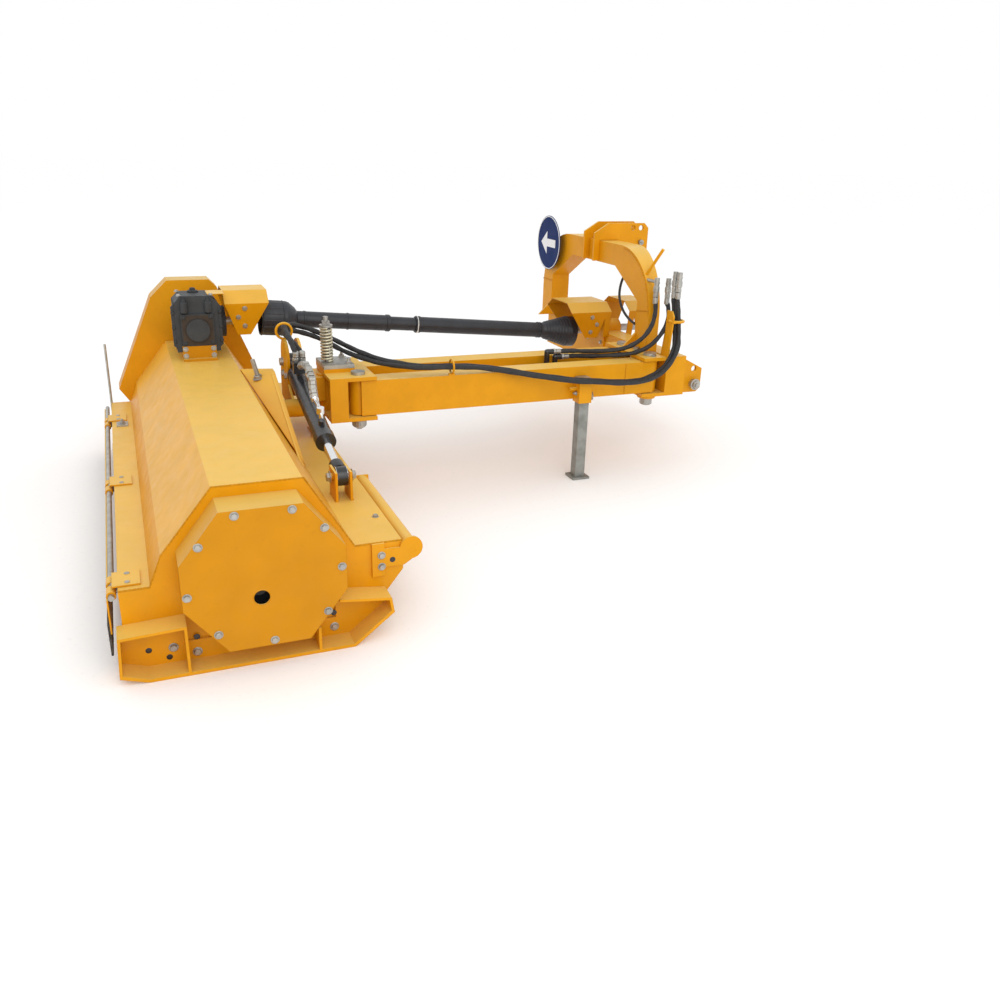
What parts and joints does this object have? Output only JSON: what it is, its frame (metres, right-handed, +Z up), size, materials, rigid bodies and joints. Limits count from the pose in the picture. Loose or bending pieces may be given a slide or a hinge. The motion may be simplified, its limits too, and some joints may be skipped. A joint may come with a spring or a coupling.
{
  "type": "flail mower",
  "caption": "Offset flail mower on a three-point headstock: swinging parallel arms, tilting head, shaft and belt drive to a flail rotor, rear roller, skids, parking jack.",
  "frame": {"origin": "middle of the box, on the ground", "axes": "+X machine's right (outer end of the head), +Y travel direction (hitch), +Z up"},
  "size_m": [2.426, 2.687, 1.03],
  "materials": {
    "orange_paint": "semi-gloss orange enamel over sheet and tube",
    "yellow_paint": "semi-gloss yellow-orange enamel on the guards",
    "zinc": "yellowish zinc-plated steel",
    "bare_steel": "bare turned steel, oiled",
    "casting": "blue-grey painted iron casting",
    "black_plastic": "matte black moulded plastic",
    "black_paint": "gloss black enamel",
    "chrome": "hard chrome on ground rod",
    "blue_sign": "blue sign sheet",
    "spring_steel": "dark coated spring wire",
    "rubber": "black rubber with a woven sleeve on the hoses"
  },
  "bodies": {
    "headstock": {"headstock_beam": "orange_paint", "headstock_arch": "orange_paint", "top_link_plates": "orange_paint", "hitch_pins": "zinc", "headstock_pins": "zinc", "pto_bearing": "casting", "headstock_guard": "yellow_paint", "road_sign": "blue_sign", "hose_rack": "orange_paint", "hose_couplers": "zinc", "swing_hoses": "rubber"},
    "stub": {"stub_shaft": "bare_steel"},
    "pto_joint": {"pto_cup": "bare_steel"},
    "pto_front": {"pto_front_guard": "black_plastic"},
    "pto_rear": {"pto_rear_guard": "black_plastic"},
    "pto_drive": {"pto_shaft": "bare_steel"},
    "near_arm": {"near_arm": "orange_paint", "jack_sleeve": "orange_paint", "tilt_hoses": "rubber"},
    "far_arm": {"far_arm": "orange_paint"},
    "jack": {"jack_leg": "zinc"},
    "swing_barrel": {"swing_barrel": "black_paint"},
    "swing_rod": {"swing_rod": "chrome"},
    "carrier": {"carrier_frame": "orange_paint", "carrier_pins": "zinc"},
    "knuckle": {"tilt_knuckle": "orange_paint", "detent_plate": "zinc", "breakaway_bolt": "bare_steel", "breakaway_spring": "spring_steel", "tilt_base_pin": "zinc"},
    "tilt_barrel": {"tilt_barrel": "black_paint"},
    "tilt_rod": {"tilt_rod": "chrome"},
    "head": {"deck": "orange_paint", "outer_side_plate": "orange_paint", "inner_side_plate": "orange_paint", "end_cover": "yellow_paint", "cover_bolts": "zinc", "skids": "orange_paint", "tilt_ears": "orange_paint", "tilt_pin": "zinc", "rod_lugs": "orange_paint", "front_bar": "orange_paint", "belt_back_plate": "orange_paint", "belt_guard": "yellow_paint", "gearbox_case": "casting", "gearbox_stand": "yellow_paint", "gearbox_guard": "yellow_paint", "rotor_bearings": "casting", "belts": "rubber", "roller_brackets": "orange_paint", "door_hinge_rod": "zinc"},
    "input": {"input_shaft": "bare_steel"},
    "drive": {"drive_pulley": "bare_steel"},
    "rotor": {"rotor": "bare_steel", "flails": "casting", "rotor_pulley": "bare_steel"},
    "roller": {"roller": "orange_paint"},
    "door": {"rear_door": "orange_paint", "rear_flap": "rubber"}
  },
  "joints": [
    {"name": "arm_swing", "type": "hinge", "parent": "headstock", "child": "near_arm", "pos_m": [-0.005, 0.9485, 0.422], "axis": [0, 0, 1], "range_deg": [-20, 20], "deforming": ["tilt_hoses", "swing_hoses"]},
    {"name": "far_arm_swing", "type": "hinge", "parent": "headstock", "child": "far_arm", "pos_m": [-0.245, 0.9485, 0.422], "axis": [0, 0, 1], "range_deg": [-20.5, 20.5]},
    {"name": "carrier_swing", "type": "hinge", "parent": "near_arm", "child": "carrier", "pos_m": [-0.005, -0.3815, 0.422], "axis": [0, 0, 1], "range_deg": [-20.5, 20.5], "deforming": ["tilt_hoses"]},
    {"name": "breakaway", "type": "hinge", "parent": "carrier", "child": "knuckle", "pos_m": [-0.125, -0.4765, 0.44], "axis": [0, 0, 1], "range_deg": [-12, 0], "deforming": ["tilt_hoses"]},
    {"name": "head_tilt", "type": "hinge", "parent": "knuckle", "child": "head", "pos_m": [0.005, -0.6345, 0.395], "axis": [0, -1, 0], "range_deg": [-10, 20], "deforming": ["tilt_hoses"]},
    {"name": "tilt_barrel_pitch", "type": "hinge", "parent": "knuckle", "child": "tilt_barrel", "pos_m": [-0.162, -0.6165, 0.541], "axis": [0, -1, 0], "range_deg": [-10, 18], "deforming": ["tilt_hoses"]},
    {"name": "tilt_rod_slide", "type": "slide", "parent": "tilt_barrel", "child": "tilt_rod", "axis": [0.9765, 0, -0.2154], "range_m": [-0.05, 0.03]},
    {"name": "swing_barrel_yaw", "type": "hinge", "parent": "headstock", "child": "swing_barrel", "pos_m": [-0.125, 0.9485, 0.422], "axis": [0, 0, 1], "range_deg": [-20.5, 20.5], "deforming": ["swing_hoses"]},
    {"name": "swing_rod_slide", "type": "slide", "parent": "swing_barrel", "child": "swing_rod", "axis": [-0.0342, -0.9994, 0], "range_m": [-0.045, 0.045]},
    {"name": "pto_yaw", "type": "hinge", "parent": "headstock", "child": "pto_joint", "pos_m": [-0.61, 0.7635, 0.515], "axis": [0, 0, 1], "range_deg": [-20.5, 20.5]},
    {"name": "pto_pitch", "type": "hinge", "parent": "pto_joint", "child": "pto_front", "pos_m": [-0.61, 0.7635, 0.515], "axis": [0.9341, 0, -0.3569], "range_deg": [-12, 12]},
    {"name": "pto_slide", "type": "slide", "parent": "pto_front", "child": "pto_rear", "axis": [0, 0.9963, -0.0861], "range_m": [0, 0.105]},
    {"name": "pto_spin", "type": "hinge", "parent": "pto_rear", "child": "pto_drive", "pos_m": [-0.61, -0.2365, 0.60147], "axis": [0, 0.9963, -0.0861], "continuous": true},
    {"name": "stub_spin", "type": "hinge", "parent": "headstock", "child": "stub", "pos_m": [-0.61, 1.0535, 0.515], "axis": [0, 1, 0], "continuous": true},
    {"name": "input_spin", "type": "hinge", "parent": "head", "child": "input", "pos_m": [-0.61, -0.8165, 0.63], "axis": [0, 1, 0], "continuous": true},
    {"name": "drive_spin", "type": "hinge", "parent": "head", "child": "drive", "pos_m": [-0.905, -0.9365, 0.63], "axis": [1, 0, 0], "continuous": true},
    {"name": "rotor_spin", "type": "hinge", "parent": "head", "child": "rotor", "pos_m": [0.12, -0.9515, 0.22], "axis": [1, 0, 0], "continuous": true},
    {"name": "roller_spin", "type": "hinge", "parent": "head", "child": "roller", "pos_m": [0.12, -1.2215, 0.07], "axis": [1, 0, 0], "continuous": true},
    {"name": "door_swing", "type": "hinge", "parent": "head", "child": "door", "pos_m": [0.12, -1.3245, 0.22], "axis": [-1, 0, 0], "range_deg": [0, 90]},
    {"name": "jack_slide", "type": "slide", "parent": "near_arm", "child": "jack", "axis": [0, 0, 1], "range_m": [0, 0.25]}
  ],
  "couplings": [
    {"joint": "far_arm_swing", "follows": "arm_swing", "ratio": 1},
    {"joint": "carrier_swing", "follows": "arm_swing", "ratio": -1},
    {"joint": "pto_yaw", "follows": "arm_swing", "ratio": 1},
    {"joint": "swing_barrel_yaw", "follows": "arm_swing", "ratio": 0.99571},
    {"joint": "swing_rod_slide", "follows": "arm_swing", "m_per_rad": -0.11723},
    {"joint": "tilt_barrel_pitch", "follows": "head_tilt", "ratio": 0.78609},
    {"joint": "tilt_rod_slide", "follows": "head_tilt", "m_per_rad": -0.11887},
    {"joint": "pto_pitch", "follows": "head_tilt", "ratio": 0.49501},
    {"joint": "pto_slide", "follows": "breakaway", "m_per_rad": -0.485},
    {"joint": "drive_spin", "follows": "rotor_spin", "ratio": 1},
    {"joint": "input_spin", "follows": "rotor_spin", "ratio": 1},
    {"joint": "pto_spin", "follows": "rotor_spin", "ratio": 1},
    {"joint": "stub_spin", "follows": "rotor_spin", "ratio": 1}
  ]
}
